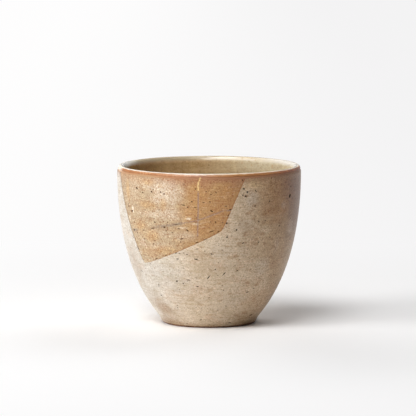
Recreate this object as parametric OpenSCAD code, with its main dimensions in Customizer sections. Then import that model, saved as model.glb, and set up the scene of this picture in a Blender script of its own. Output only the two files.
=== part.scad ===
/* [Body] */
// Height of the clay from the table to the top of the lip
body_h = 75.2; // [60:0.1:95]
// Outer diameter of the clay at the mouth, just under the lip
mouth_d = 87.2; // [72:0.2:104]

/* [Foot] */
// Outer diameter of the foot where it meets the table
foot_d = 44.4; // [34:0.2:56]
// Height of the turned foot, up to where the wall flares out
foot_h = 3; // [2:0.1:6]
// How far the foot leans outwards over its height
foot_lean = 1; // [0:0.1:2]
// Width of the flat ring that the cup stands on, with its softened edges
foot_ring_w = 4.6; // [3:0.1:8]
// Depth of the hollow turned out of the middle of the foot
foot_hollow = 2.4; // [1:0.1:4]
// Radius of the softened edges of the foot ring
foot_round = 0.6; // [0.3:0.1:1]

/* [Wall] */
// Thickness of the clay at the mouth
lip_w = 2.5; // [1.6:0.1:4]
// Height of the rounded lip on top of the wall
lip_rise = 3; // [1.5:0.1:5]
// Thickness of the floor, from the hollow of the foot to the inside
floor_w = 4.4; // [3:0.1:8]
// How far the flank leans out above the foot
flank_out = 3.7; // [1:0.1:5]
// How far the flank rises while it leans out
flank_up = 4.8; // [3:0.1:8]
// How far the inside draws in below the mouth, which thickens the wall lower down
wall_gain = 1.8; // [0:0.1:4]
// How far the flat of the floor reaches past the foot
floor_spread = 4; // [0:0.1:6]

/* [Glazes] */
// Thickness of the glossy glaze inside the cup and over the lip
inside_glaze_w = 0.4; // [0.2:0.05:0.8]
// Thickness of the pale ash glaze outside
outside_glaze_w = 0.4; // [0.2:0.05:0.8]
// Thickness of the orange glaze in the window of the pale one
orange_glaze_w = 0.3; // [0.2:0.05:0.6]
// Thickness of the iron line under the lip
iron_line_w = 0.2; // [0.1:0.05:0.4]
// How far the glaze of the inside laps down the outside of the lip
lip_lap = 1.1; // [0.6:0.1:2]
// Height of the iron line
iron_line_h = 1; // [0.5:0.1:2.5]
// Height of the bare clay that shows at the foot
bare_foot_h = 1; // [0.8:0.1:2]

/* [Hidden] */
$fn = 180;

mouth_r = mouth_d / 2;
foot_r = foot_d / 2;
foot_top_r = foot_r + foot_lean;
hollow_r = foot_r - foot_ring_w;
inside_r = mouth_r - lip_w;
lip_mid_r = mouth_r - lip_w / 2;
lip_z = body_h - lip_rise;
floor_z = foot_hollow + floor_w;
lap_z = body_h - lip_lap;
line_z = lap_z - iron_line_h;

// How high the belly is fullest, as a share of the wall from foot to lip
belly_share = 0.33;
// How high the bowl is fullest, as a share of the inside from floor to lip
bowl_share = 0.25;
// How far the side of the hollow leans in, as a share of its depth
hollow_lean_share = 0.4;
// How far the ceiling of the hollow rises in the middle, as a share of its depth
hollow_dome_share = 0.15;

// The window in the pale glaze, seen from the front: three curved edges, each of four control
// points. Across is a share of the mouth's radius, up is a share of the clay's height. The two
// side edges end above the lip.
window_left_shares = [[-0.975, 1.05], [-0.955, 0.80], [-0.84, 0.60], [-0.70, 0.408]];
window_foot_shares = [[-0.70, 0.408], [-0.425, 0.49], [-0.134, 0.561], [0.138, 0.647]];
window_right_shares = [[0.138, 0.647], [0.225, 0.753], [0.31, 0.88], [0.45, 1.05]];

// Steps along each curve
wall_steps = 44;
bowl_steps = 40;
lip_steps = 8;
round_steps = 4;
window_steps = 6;

// A cubic curve from the first to the last of four control points
function curve(p, steps) = [
    for (i = [0 : steps])
        let (u = i / steps, v = 1 - u)
        v * v * v * p[0] + 3 * u * v * v * p[1] + 3 * u * u * v * p[2] + u * u * u * p[3]
];

// A stretch of an ellipse, between two angles
function arc(centre, across, up, from, to, steps) = [
    for (i = [0 : steps])
        let (a = from + (to - from) * i / steps)
        centre + [across * cos(a), up * sin(a)]
];

function tail(path) = [for (i = [1 : len(path) - 1]) path[i]];

function reversed(path) = [for (i = [len(path) - 1 : -1 : 0]) path[i]];

// The outside of the clay, from the table to the top of the lip
foot_edge = arc([foot_r - foot_round, foot_round], foot_round, foot_round, -90, 0, round_steps);
wall = curve([
    [foot_top_r, foot_h],
    [foot_top_r + flank_out, foot_h + flank_up],
    [mouth_r, foot_h + (lip_z - foot_h) * belly_share],
    [mouth_r, lip_z]
], wall_steps);
outer_lip = arc([lip_mid_r, lip_z], lip_w / 2, lip_rise, 0, 90, lip_steps);
outside = concat(foot_edge, wall, tail(outer_lip));

// The inside of the clay, from the top of the lip to the middle of the floor
inner_lip = arc([lip_mid_r, lip_z], lip_w / 2, lip_rise, 90, 180, lip_steps);
bowl = curve([
    [inside_r, lip_z],
    [inside_r - wall_gain, floor_z + (lip_z - floor_z) * bowl_share],
    [foot_top_r + floor_spread, floor_z],
    [0, floor_z]
], bowl_steps);
inside = concat(tail(inner_lip), tail(bowl));

// The hollow of the foot, from its middle out to the ring that the cup stands on
hollow_side = [
    [0, foot_hollow + foot_hollow * hollow_dome_share],
    [hollow_r - foot_hollow * hollow_lean_share, foot_hollow]
];
ring_edge = arc([hollow_r + foot_round, foot_round], foot_round, foot_round, 180, 270, round_steps);

// The glazes follow the skin of the clay: up the outside, over the lip and down the inside
skin = concat(outside, inside);
lip_top = len(outside) - 1;

// The way out of the clay at one point of a path, square to its two neighbours
function outward(path, i) =
    let (
        before = path[max(i - 1, 0)],
        after = path[min(i + 1, len(path) - 1)],
        along = (after - before) / norm(after - before)
    )
    [along.y, -along.x];

// The skin raised by the thickness of a glaze
function raised(thickness) = [
    for (i = [0 : len(skin) - 1])
        let (p = skin[i] + thickness * outward(skin, i))
        [max(p.x, 0), p.y]
];

function up_outside(path) = [for (i = [0 : lip_top]) path[i]];

function down_inside(path) = [for (i = [lip_top + 1 : len(path) - 1]) path[i]];

// The point of a rising path at a height, and the stretches above it and below another
function point_at(path, z) = [lookup(z, [for (p = path) [p.y, p.x]]), z];

function above(path, low) = concat([point_at(path, low)], [for (p = path) if (p.y > low) p]);

function between(path, low, high) = concat(
    [point_at(path, low)],
    [for (p = path) if (p.y > low && p.y < high) p],
    [point_at(path, high)]
);

// A glaze round the outside, between two heights
module band(low, high, thickness) {
    face = up_outside(raised(thickness));
    rotate_extrude()
        polygon(concat(between(outside, low, high), reversed(between(face, low, high))));
}

module window() {
    outline = concat(
        curve(window_left_shares, window_steps),
        tail(curve(window_foot_shares, window_steps)),
        tail(curve(window_right_shares, window_steps))
    );
    rotate([90, 0, 0])
        linear_extrude(mouth_d)
            polygon([for (s = outline) [s.x * mouth_r, s.y * body_h]]);
}

module clay_body() {
    color("saddlebrown")
        rotate_extrude()
            polygon(concat(outside, inside, hollow_side, ring_edge));
}

module inside_glaze() {
    face = raised(inside_glaze_w);
    color("darkkhaki")
        rotate_extrude()
            polygon(concat(
                above(outside, lap_z),
                inside,
                reversed(down_inside(face)),
                reversed(above(up_outside(face), lap_z))
            ));
}

module iron_line() {
    color("firebrick")
        band(line_z, lap_z, iron_line_w);
}

module outside_glaze() {
    color("wheat")
        difference() {
            band(bare_foot_h, line_z, outside_glaze_w);
            window();
        }
}

module orange_glaze() {
    color("sandybrown")
        intersection() {
            band(bare_foot_h, line_z, orange_glaze_w);
            window();
        }
}

clay_body();
inside_glaze();
iron_line();
outside_glaze();
orange_glaze();
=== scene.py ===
"""A handleless stoneware tea cup: the thrown clay, the glazes melted onto it and a plain studio.

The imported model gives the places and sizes; this file gives each piece its finished shape and surface.
"""

import math
import random

import bmesh
import bpy
import numpy as np
from bpy.props import FloatProperty, FloatVectorProperty, IntProperty, PointerProperty
from mathutils import Euler, Matrix, Vector, noise


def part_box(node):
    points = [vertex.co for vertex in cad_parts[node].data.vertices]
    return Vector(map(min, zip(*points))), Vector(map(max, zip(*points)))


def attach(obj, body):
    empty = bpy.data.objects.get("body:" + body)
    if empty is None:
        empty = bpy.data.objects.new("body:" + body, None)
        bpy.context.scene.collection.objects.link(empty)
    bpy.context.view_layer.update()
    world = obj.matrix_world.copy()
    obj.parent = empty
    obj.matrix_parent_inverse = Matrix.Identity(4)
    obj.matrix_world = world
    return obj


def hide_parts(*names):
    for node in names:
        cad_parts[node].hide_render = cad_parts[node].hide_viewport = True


bl_info = {
    "name": "Thrown tea cup",
    "version": (1, 0, 0),
    "blender": (4, 5, 0),
    "location": "3D View > Sidebar > Tea Cup",
    "description": "Builds a handleless stoneware tea cup: thrown clay, melted glazes and a plain studio",
    "category": "Add Mesh",
}

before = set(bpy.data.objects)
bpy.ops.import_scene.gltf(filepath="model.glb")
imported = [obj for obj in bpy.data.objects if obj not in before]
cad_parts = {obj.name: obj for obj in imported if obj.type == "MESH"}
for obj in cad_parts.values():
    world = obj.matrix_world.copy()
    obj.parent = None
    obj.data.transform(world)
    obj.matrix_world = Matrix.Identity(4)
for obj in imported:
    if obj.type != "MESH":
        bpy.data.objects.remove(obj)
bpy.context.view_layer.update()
MM = 0.001

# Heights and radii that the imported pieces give
CLAY_LOW, CLAY_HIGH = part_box("clay_body")
CLAY_H = CLAY_HIGH.z
MOUTH_R = (CLAY_HIGH.y - CLAY_LOW.y) / 2
LINE_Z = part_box("iron_line")[0].z
LAP_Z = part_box("iron_line")[1].z
BARE_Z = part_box("outside_glaze")[0].z
FLOOR_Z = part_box("inside_glaze")[0].z
GLAZE_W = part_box("inside_glaze")[1].z - CLAY_H

# The photograph's frame, in pixels, and the width of a camera's sensor, in millimetres
PHOTO_PX = 416
SENSOR_MM = 36

# The object coordinates: to the right, away from the camera and up
RIGHT, BACK, UP = range(3)

# The window in the ash glaze, seen from the front: three curved edges, each of four control
# points. Across is a share of the mouth's radius, up is a share of the clay's height.
WINDOW_LEFT = ((-0.975, 1.05), (-0.955, 0.80), (-0.84, 0.60), (-0.70, 0.408))
WINDOW_FOOT = ((-0.70, 0.408), (-0.425, 0.49), (-0.134, 0.561), (0.138, 0.647))
WINDOW_RIGHT = ((0.138, 0.647), (0.225, 0.753), (0.31, 0.88), (0.45, 1.05))

# Pits that show in the ash glaze: place in the photograph, width and height in pixels, and tilt in
# degrees
ASH_PITS = (
    (289.7, 195.9, 4.6, 3.0, 62), (224.2, 273.7, 5.6, 1.0, 50), (196.2, 259.5, 4.8, 1.0, -15),
    (208.6, 277.3, 4.6, 1.0, 55), (188.8, 280.0, 4.0, 0.8, -5), (250.9, 315.0, 4.0, 1.5, 20),
    (197.2, 286.3, 3.6, 0.8, -15), (176.9, 281.2, 2.2, 1.6, 50), (255.9, 191.0, 3.2, 1.1, -55),
    (226.6, 223.2, 2.2, 1.5, 0), (158.9, 285.2, 5.2, 0.7, 70), (247.3, 192.2, 2.3, 1.8, 20),
    (245.7, 196.2, 1.9, 1.5, 0), (243.9, 188.8, 1.9, 1.5, -40), (242.9, 195.2, 1.6, 1.4, 0),
    (177.7, 259.0, 3.0, 1.0, 0), (229.6, 322.7, 3.6, 0.7, 0), (247.5, 292.1, 3.2, 0.8, 10),
    (236.6, 229.9, 1.3, 2.2, -10), (269.5, 201.4, 2.2, 1.1, 45), (258.8, 221.6, 1.5, 1.6, 0),
    (243.1, 243.0, 2.8, 0.9, 20), (265.3, 220.6, 1.8, 1.2, 45), (279.4, 225.6, 2.8, 0.9, 30),
    (255.0, 206.0, 1.6, 1.6, 0), (258.3, 295.8, 1.8, 1.0, 25), (211.4, 254.0, 2.0, 1.1, -20),
    (227.0, 237.2, 1.9, 1.3, 0), (161.3, 295.3, 2.6, 0.7, -15), (290.7, 186.4, 1.0, 1.8, 0),
    (179.6, 253.5, 2.2, 0.7, 0), (183.4, 283.7, 1.5, 1.1, 0), (215.3, 269.4, 1.5, 1.1, 50),
    (253.7, 288.6, 1.4, 1.1, 50), (142.1, 271.2, 1.2, 1.7, 0), (223.5, 290.1, 1.3, 1.0, 0),
    (267.0, 296.4, 1.3, 1.2, 0), (177.6, 307.7, 1.5, 0.8, 0), (187.0, 323.4, 1.8, 0.7, 0),
    (274.0, 274.7, 1.3, 1.1, 0), (258.6, 242.2, 1.1, 1.6, 0), (269.9, 237.2, 1.2, 1.8, 0),
    (290.2, 218.7, 1.0, 1.4, 10), (288.1, 236.9, 0.9, 1.4, 10), (237.5, 270.5, 1.6, 1.0, 25),
    (175.8, 252.9, 3.0, 1.2, 15), (187.0, 254.5, 1.5, 0.9, 0), (271.6, 178.0, 1.0, 1.4, 10),
    (257.3, 304.1, 1.8, 0.8, 60), (177.3, 305.5, 1.2, 0.9, 0),
)

# Pits that show in the orange glaze, in the same form
ORANGE_PITS = (
    (136.9, 188.1, 3.2, 1.7, -10), (151.6, 191.8, 2.6, 1.5, -5), (142.6, 192.5, 2.0, 1.3, 0),
    (153.2, 189.3, 1.3, 1.1, 0), (164.0, 193.9, 1.7, 1.5, 0), (160.7, 192.1, 1.7, 1.4, 0),
    (128.9, 206.1, 1.8, 1.7, 0), (132.2, 210.9, 3.6, 1.7, 15), (134.7, 222.1, 1.0, 1.5, 0),
    (134.5, 229.8, 1.5, 2.2, 0), (137.5, 232.8, 1.5, 1.2, 0), (154.8, 222.2, 2.2, 1.6, -40),
    (183.2, 205.1, 4.2, 1.0, -4), (187.6, 207.4, 1.5, 1.0, 0), (195.5, 207.5, 2.4, 0.8, 0),
    (203.5, 202.4, 2.6, 0.7, 0), (209.9, 201.9, 2.0, 1.0, 0), (191.9, 201.6, 1.6, 1.5, 0),
    (211.8, 211.1, 2.9, 1.4, -25), (228.3, 215.5, 2.6, 0.9, 75), (230.3, 209.7, 2.6, 1.3, 0),
    (226.2, 206.3, 1.5, 1.1, 0), (215.5, 222.1, 1.3, 1.6, 0), (211.7, 231.4, 5.4, 0.9, 18),
    (218.4, 231.6, 3.0, 1.0, 25), (181.7, 238.8, 3.4, 1.0, 12), (187.3, 230.4, 2.8, 1.2, -33),
    (178.6, 228.5, 2.0, 0.8, 0), (164.4, 227.2, 2.6, 1.4, 15), (167.4, 222.3, 1.8, 0.8, 0),
    (166.1, 230.7, 1.4, 1.0, -35), (172.4, 232.5, 2.0, 0.7, 0), (180.6, 242.1, 1.9, 0.8, -35),
    (205.1, 239.4, 4.0, 0.7, 25), (197.0, 242.4, 3.6, 0.9, 25), (165.8, 255.5, 2.6, 0.9, 10),
    (156.6, 258.6, 4.0, 0.9, 15), (216.0, 192.5, 1.4, 1.1, 0), (206.1, 191.5, 1.4, 1.0, 0),
    (211.0, 194.3, 1.1, 1.0, 0), (242.6, 180.4, 1.1, 2.2, 0), (210.4, 222.0, 1.4, 0.9, 0),
    (144.3, 239.0, 2.2, 0.9, 15), (153.7, 243.9, 1.7, 1.0, 0), (159.3, 209.9, 1.1, 0.9, 0),
    (176.0, 224.6, 3.2, 0.7, 5), (143.7, 230.0, 3.0, 0.8, 8), (152.5, 228.4, 4.4, 0.8, 11),
    (195.6, 189.0, 1.1, 1.5, 0), (138.6, 248.6, 1.0, 2.0, 0),
)

# Soft clouds where the ash glaze runs thin and dark: each tint with its places in the photograph,
# as x, y, width and height in pixels, and strength
DARK_CLOUDS = (
    ("ash_brown", (
        (284, 226, 50, 40, 0.3), (272, 262, 26, 20, 0.2), (162, 307, 22, 26, 0.5),
        (170, 320, 38, 12, 0.5), (252, 320, 22, 10, 0.35), (244, 316, 34, 22, 0.4),
        (206, 268, 26, 40, 0.15), (190, 254, 30, 8, 0.25), (135, 264, 30, 50, 0.3),
        (154, 300, 44, 36, 0.2), (168, 312, 44, 22, 0.25),
    )),
    ((0.32, 0.146, 0.034), (
        (288, 192, 90, 60, 0.72), (276, 211, 44, 12, 0.5), (276, 221, 30, 7, 0.35),
        (284, 180, 40, 14, 0.35),
    )),
    ((0.19, 0.065, 0.014), ((294, 180, 66, 42, 0.6), (296, 208, 44, 44, 0.35))),
)

# Soft clouds where it lies thick and pale, in the same form, and one painted sheen
PALE_CLOUDS = (
    ((0.64, 0.45, 0.25), ((254, 181, 30, 20, 0.75),)),
    ((0.64, 0.51, 0.36), (
        (265, 231, 18, 12, 0.5), (250, 276, 40, 44, 0.45), (262, 286, 24, 30, 0.4),
        (230, 280, 34, 50, 0.35), (197, 246, 26, 14, 0.3), (226, 286, 44, 56, 0.45),
        (262, 270, 28, 26, 0.35), (238, 240, 14, 16, 0.3), (236, 256, 24, 20, 0.3),
        (224, 300, 40, 26, 0.3),
    )),
    ("ash_grey", (
        (252, 200, 18, 22, 0.6), (247, 226, 24, 18, 0.4), (262, 268, 22, 24, 0.35),
        (284, 205, 10, 8, 0.3), (290, 226, 16, 20, 0.35), (222, 252, 26, 14, 0.3),
        (236, 300, 30, 18, 0.2), (276, 246, 10, 20, 0.3), (190, 288, 40, 32, 0.3),
    )),
    # The narrow cloud at the far left edge, at 122 and 205, is a painted sheen where the lamps graze the
    # side
    ("ash_pale", ((165, 276, 50, 34, 0.5), (150, 292, 24, 26, 0.1), (122, 205, 10, 60, 0.4))),
)

# Soft clouds in the orange glaze, in the same form
ORANGE_CLOUDS = (
    ("orange_pale", (
        (165, 192, 42, 28, 1.0), (172, 189, 22, 22, 0.5), (134, 184, 22, 40, 0.3),
        (168, 212, 30, 14, 0.7), (165, 218, 40, 8, 0.4), (160, 246, 34, 10, 0.35),
        (150, 214, 40, 7, 0.6), (186, 236, 26, 12, 0.5), (143, 243, 9, 7, 0.7),
        (152, 184, 44, 16, 0.5), (158, 200, 26, 12, 0.4), (162, 234, 30, 10, 0.3),
    )),
    ("orange_deep", (
        (222, 214, 40, 50, 0.8), (230, 190, 30, 34, 0.8), (198, 194, 26, 32, 0.6),
        (204, 230, 34, 16, 0.5), (152, 252, 40, 12, 0.3), (189, 213, 26, 14, 0.4),
        (192, 221, 12, 8, 0.4),
    )),
    ((0.495, 0.29, 0.105), (
        (140, 226, 22, 14, 0.45), (152, 236, 26, 14, 0.5), (166, 250, 26, 12, 0.5),
        (128, 190, 9, 26, 0.5), (148, 205, 26, 9, 0.5), (163, 205, 9, 16, 0.5),
        (148, 182, 20, 8, 0.5),
    )),
    ((0.80, 0.72, 0.58), (
        (189, 219, 6, 3, 0.8), (133, 209, 4, 8, 0.9), (130, 218, 3, 6, 0.5), (144, 240, 6, 2, 0.6),
        (146, 246, 2.5, 6, 0.6), (196, 224, 12, 2.5, 0.5), (183, 228, 12, 2.5, 0.4),
        (141, 252, 5, 4, 0.4),
    )),
)

# Fine cracks: tint, strength, width in pixels and points in the photograph
CRACK_YELLOW = (0.80, 0.58, 0.26)
CRACK_VIOLET = (0.30, 0.20, 0.16)
CRACK_BROWN = (0.28, 0.21, 0.15)
CRACKS = (
    (CRACK_YELLOW, 0.8, 1.3, ((199.6, 180.2), (198.6, 182), (198.0, 186), (198.3, 190))),
    (CRACK_VIOLET, 0.8, 1.2, ((198.2, 191.5), (198.3, 206), (197.9, 220), (197.6, 236))),
    (CRACK_BROWN, 0.9, 2.4, ((133.7, 229.8), (160, 226.6), (181.5, 223.5))),
    (CRACK_VIOLET, 0.7, 1.3,
     ((181.5, 223.5), (196.7, 220.8), (207.5, 217), (222.2, 211.3), (231.2, 210.2))),
)
CRACK_IN_THE_LINE = (CRACK_YELLOW, 0.75, 1.3, ((200.3, 178.0), (199.8, 179.0)))

# Burnt grit, in specks and at the bottom of pits
BURNT_GRIT = (0.16, 0.085, 0.04)

# Each lamp's place, in degrees left of the camera and above the table, its width and height in
# metres, and whether gloss shows it
LAMPS = {
    "key": (35, 62, 1.0, 1.0, True),
    "front": (20, 50, 1.0, 1.0, True),
    "side": (70, 14, 0.8, 0.8, False),
    "rear": (150, 14, 1.5, 1.5, False),
    "fill": (-140, 45, 1.0, 1.0, False),
    "gloss": (31, 37, 2.8, 0.9, True),
}
GLOSS_COLOUR = (0.92, 0.96, 1.0)

# The size of the point that an outline is drawn from, and the gap that counts as none
SEED_POINT = 0.01 * MM
MERGE_GAP = 0.002 * MM

# How high the belly and the inside bowl are fullest, as shares of the wall
BELLY_SHARE = 0.33
BOWL_SHARE = 0.25

# The hollow of the foot: how far its side leans in, how far its ceiling rises in the middle and how
# far the nub hangs down, as shares of its depth, and the nub's width as a share of the ceiling's
HOLLOW_LEAN = 0.4
HOLLOW_DOME = 0.15
NUB_HEIGHT = 0.22
NUB_WIDTH = 0.14

# Steps along the wall, the lip, the foot's edges, its hollow and each side of the window
WALL_STEPS = 84
LIP_STEPS = 10
EDGE_STEPS = 5
HOLLOW_STEPS = 28
WINDOW_STEPS = 14

# Marks of the hand: the faint turning lines outside, the finger rings inside, the ripple of the
# brim and the drips along the top of the iron line
TURNING_DEPTH = 0.022 * MM
TURNING_PITCH = 3.6 * MM
FINGER_PITCH = 5.2 * MM
BRIM_RIPPLE = 0.10 * MM
LINE_DRIP = 0.16 * MM
DRIP_SPREAD = 0.8 * MM

# Widths of the melted edges of a glaze and of the iron line, and the angles, in degrees, above
# which an edge is melted and above which it is shaded crisp
GLAZE_MELT = 0.1 * MM
LINE_MELT = 0.05 * MM
MELT_ANGLE = 50
CRISP_ANGLE = 35

# How much of each corner of the window is kept, and a distance that counts as far from its border
CORNER_SHARE = 0.7
FAR_AWAY = 50 * MM

# Pits scattered over the back: how many, where their random order starts, the stretch round the
# cup in degrees and up it in millimetres, and the share of them that are long
BACK_PITS = 70
BACK_SEED = 11
BACK_ROUND = (78, 282)
BACK_UP = (3, 71)
LONG_SHARE = 0.4

# How deep a pit goes, as a share of its glaze, and how far it strays from a round shape
PIT_SHARE = 0.85
PIT_RAGGEDNESS = 0.45

FLOOR_RADIUS = 6.0


def a_length(name, description, mm):
    """A setting in metres, given in millimetres."""
    return FloatProperty(name=name, description=description, default=mm * MM, unit="LENGTH")


def a_tint(name, description, *default):
    """A setting that is a colour."""
    return FloatVectorProperty(name=name, description=description, default=default, subtype="COLOR")


def a_power(name, description, watts):
    """A setting that is a lamp's power."""
    return FloatProperty(name=name, description=description, default=watts, unit="POWER")


class CupSizes(bpy.types.PropertyGroup):
    """The sizes that shape the clay and its glazes."""

    foot_radius: a_length("Foot radius", "Radius of the foot at the table", 22.2)
    foot_height: a_length("Foot height", "Height of the turned foot", 3.0)
    foot_lean: a_length("Foot lean", "How far the foot leans outwards", 1.0)
    ring_width: a_length("Foot ring", "Width of the ring that the cup stands on", 4.6)
    hollow_depth: a_length("Foot hollow", "Depth of the hollow of the foot", 2.4)
    edge_radius: a_length("Foot edge", "Radius of the edges of the foot ring", 0.6)
    lip_width: a_length("Lip width", "Thickness of the clay at the mouth", 2.5)
    lip_rise: a_length("Lip rise", "Height of the rounded lip", 3.0)
    flank_out: a_length("Flank out", "How far the flank leans out above the foot", 3.7)
    flank_up: a_length("Flank up", "How far the flank rises while it leans out", 4.8)
    wall_gain: a_length("Wall gain", "How far the inside draws in below the mouth", 1.8)
    floor_spread: a_length("Floor spread", "How far the floor reaches past the foot", 4.0)
    orange_width: a_length("Orange glaze", "Thickness of the orange glaze", 0.3)
    iron_width: a_length("Iron line", "Thickness of the iron line", 0.2)
    throwing: a_length("Throwing rings", "Depth of the finger rings inside", 0.16)
    unevenness: a_length("Unevenness", "How far the hand-made wall strays inwards", 0.14)
    sides: IntProperty(name="Sides", description="Steps round the cup", default=256)


class GlazeColours(bpy.types.PropertyGroup):
    """The colours of the clay and the glazes."""

    clay: a_tint("Clay", "Bare fired clay", 0.13, 0.062, 0.036)
    ash: a_tint("Ash glaze", "The pale glaze outside", 0.645, 0.52, 0.375)
    # Pale ash glaze, also laid on the lit left side and the far left edge as painted light
    ash_pale: a_tint("Ash glaze, pale", "Where the glaze lies thick and white", 0.575, 0.53, 0.465)
    ash_brown: a_tint("Ash glaze, brown", "Where the clay shows through", 0.27, 0.145, 0.05)
    ash_grey: a_tint("Ash glaze, grey", "Its cool grey clouds", 0.52, 0.42, 0.32)
    orange: a_tint("Orange glaze", "The glaze in the window", 0.44, 0.258, 0.103)
    orange_pale: a_tint("Orange glaze, pale", "Its paler clouds", 0.57, 0.465, 0.35)
    orange_deep: a_tint("Orange glaze, deep", "Where it is thickest", 0.443, 0.222, 0.0735)
    blush: a_tint("Blush", "The red that bleeds from the iron line", 0.35, 0.155, 0.075)
    iron: a_tint("Iron", "The iron line under the lip", 0.20, 0.055, 0.02)
    ash_pit: a_tint("Pits, ash glaze", "The burnt inside of a pit", 0.040, 0.026, 0.014)
    orange_pit: a_tint("Pits, orange glaze", "The brown inside of a pit", 0.085, 0.036, 0.013)
    # The inside glaze: its dark colour is painted shade on the left wall, its pale one painted light on
    # the right
    inside: a_tint("Inside glaze", "The glossy glaze inside", 0.305, 0.158, 0.045)
    inside_pale: a_tint("Inside glaze, pale", "Its paler side", 0.48, 0.41, 0.28)
    lip: a_tint("Lip", "The glaze where it lies pale on the lip", 0.75, 0.67, 0.56)
    lip_edge: a_tint("Lip edge", "The glaze where it ends under the lip", 0.66, 0.46, 0.25)
    floor: a_tint("Floor", "The studio floor", 0.94, 0.935, 0.935)


class StudioSettings(bpy.types.PropertyGroup):
    """The camera and the lamps."""

    distance: a_length("Distance", "From the camera back to the cup's axis", 1502.5)
    height: a_length("Height", "Height of the camera above the table", 229.87)
    aim_height: a_length("Aim", "Height that the camera looks at on the axis", 54.64)
    aside: a_length("Aside", "How far the camera stands left of the axis", 0.54)
    lens: FloatProperty(name="Lens", description="Focal length in millimetres", default=273.6)
    key_power: a_power("Key lamp", "Power of the high soft lamp at the left", 17.0)
    front_power: a_power("Front lamp", "Power of the soft lamp in front", 9.4)
    side_power: a_power("Side lamp", "Power of the low soft lamp at the left", 33.0)
    rear_power: a_power("Rear lamp", "Power of the lamp behind at the left", 27.5)
    fill_power: a_power("Fill lamp", "Power of the lamp behind at the right", 8.8)
    gloss_power: a_power("Gloss lamp", "Power of the lamp that only the inside shows", 32.0)
    reach: a_length("Lamp distance", "From each lamp to the cup", 2000)
    backdrop: FloatProperty(name="Backdrop", description="How bright gloss shows the room round the cup",
                            default=0.5)


def sizes():
    """The cup's sizes in this scene."""
    return bpy.context.scene.cup_sizes


def studio():
    """The settings of the camera and the lamps in this scene."""
    return bpy.context.scene.studio


def colour(tint):
    """A tint with a full alpha. It is three numbers or the name of a glaze colour."""
    if isinstance(tint, str):
        tint = getattr(bpy.context.scene.glaze_colours, tint)
    return (*tint, 1.0)


def curve(points, steps):
    """A cubic curve from the first to the last of four control points."""
    a, b, c, d = (Vector(p) for p in points)
    return [
        a * (1 - u) ** 3 + b * 3 * u * (1 - u) ** 2 + c * 3 * u * u * (1 - u) + d * u ** 3
        for u in (i / steps for i in range(steps + 1))
    ]


def arc(centre, across, up, start, end, steps):
    """A stretch of an ellipse between two angles, in degrees."""
    angles = (math.radians(start + (end - start) * i / steps) for i in range(steps + 1))
    return [Vector((centre[0] + across * math.cos(a), centre[1] + up * math.sin(a))) for a in angles]


def with_heights(points, heights):
    """A rising outline with points added where it passes some heights."""
    made = [points[0]]
    for low, high in zip(points, points[1:]):
        for z in heights:
            if low.y < z < high.y:
                made.append(low.lerp(high, (z - low.y) / (high.y - low.y)))
        made.append(high)
    return made


def outside_outline():
    """The outside of the clay, from the table to the top of the lip, as radius and height."""
    s = sizes()
    foot_top = s.foot_radius + s.foot_lean
    lip_z = CLAY_H - s.lip_rise
    edge = arc((s.foot_radius - s.edge_radius, s.edge_radius), s.edge_radius, s.edge_radius, -90, 0,
               EDGE_STEPS)
    wall = curve(((foot_top, s.foot_height),
                  (foot_top + s.flank_out, s.foot_height + s.flank_up),
                  (MOUTH_R, s.foot_height + (lip_z - s.foot_height) * BELLY_SHARE),
                  (MOUTH_R, lip_z)), WALL_STEPS)
    lip = arc((MOUTH_R - s.lip_width / 2, lip_z), s.lip_width / 2, s.lip_rise, 0, 90, LIP_STEPS)
    return with_heights(edge + wall + lip[1:], (BARE_Z, LINE_Z, LAP_Z))


def inside_outline():
    """The inside of the clay, from the top of the lip to the middle of the floor."""
    s = sizes()
    lip_z = CLAY_H - s.lip_rise
    inside_r = MOUTH_R - s.lip_width
    lip = arc((MOUTH_R - s.lip_width / 2, lip_z), s.lip_width / 2, s.lip_rise, 90, 180, LIP_STEPS)
    bowl = curve(((inside_r, lip_z),
                  (inside_r - s.wall_gain, FLOOR_Z + (lip_z - FLOOR_Z) * BOWL_SHARE),
                  (s.foot_radius + s.foot_lean + s.floor_spread, FLOOR_Z),
                  (0, FLOOR_Z)), WALL_STEPS)
    return lip[1:] + bowl[1:]


def hollow_outline():
    """The hollow of the foot, from its middle, where the turning tool left a low nub, to the ring."""
    s = sizes()
    hollow_r = s.foot_radius - s.ring_width
    ceiling_r = hollow_r - s.hollow_depth * HOLLOW_LEAN
    ceiling = []
    for i in range(HOLLOW_STEPS + 1):
        r = ceiling_r * i / HOLLOW_STEPS
        dome = HOLLOW_DOME * s.hollow_depth * (1 - (r / ceiling_r) ** 2)
        nub = NUB_HEIGHT * s.hollow_depth * math.exp(-(r / (NUB_WIDTH * ceiling_r)) ** 2)
        ceiling.append(Vector((r, s.hollow_depth + dome - nub)))
    edge = arc((hollow_r + s.edge_radius, s.edge_radius), s.edge_radius, s.edge_radius, 180, 270,
               EDGE_STEPS)
    return ceiling + edge


def outside_radius():
    """The radius of the clay's outside as a function of the height."""
    points = outside_outline()
    heights = [p.y for p in points]
    radii = [p.x for p in points]
    return lambda z: float(np.interp(z, heights, radii))


def deselect_all():
    """Leaves edit mode and selects nothing."""
    if bpy.context.object and bpy.context.object.mode != "OBJECT":
        bpy.ops.object.mode_set(mode="OBJECT")
    bpy.ops.object.select_all(action="DESELECT")


def make_active(piece):
    """Selects one piece and nothing else."""
    deselect_all()
    piece.select_set(True)
    bpy.context.view_layer.objects.active = piece


def edit(piece, mode="VERT"):
    """Opens a piece in edit mode with all of it selected."""
    make_active(piece)
    bpy.ops.object.mode_set(mode="EDIT")
    bpy.ops.mesh.select_mode(type=mode)
    bpy.ops.mesh.select_all(action="SELECT")


def apply_modifier(piece, kind, **settings):
    """Puts a modifier on a piece and applies it."""
    make_active(piece)
    modifier = piece.modifiers.new(kind.lower(), kind)
    for key, value in settings.items():
        setattr(modifier, key, value)
    bpy.ops.object.modifier_apply(modifier=modifier.name)


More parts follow.
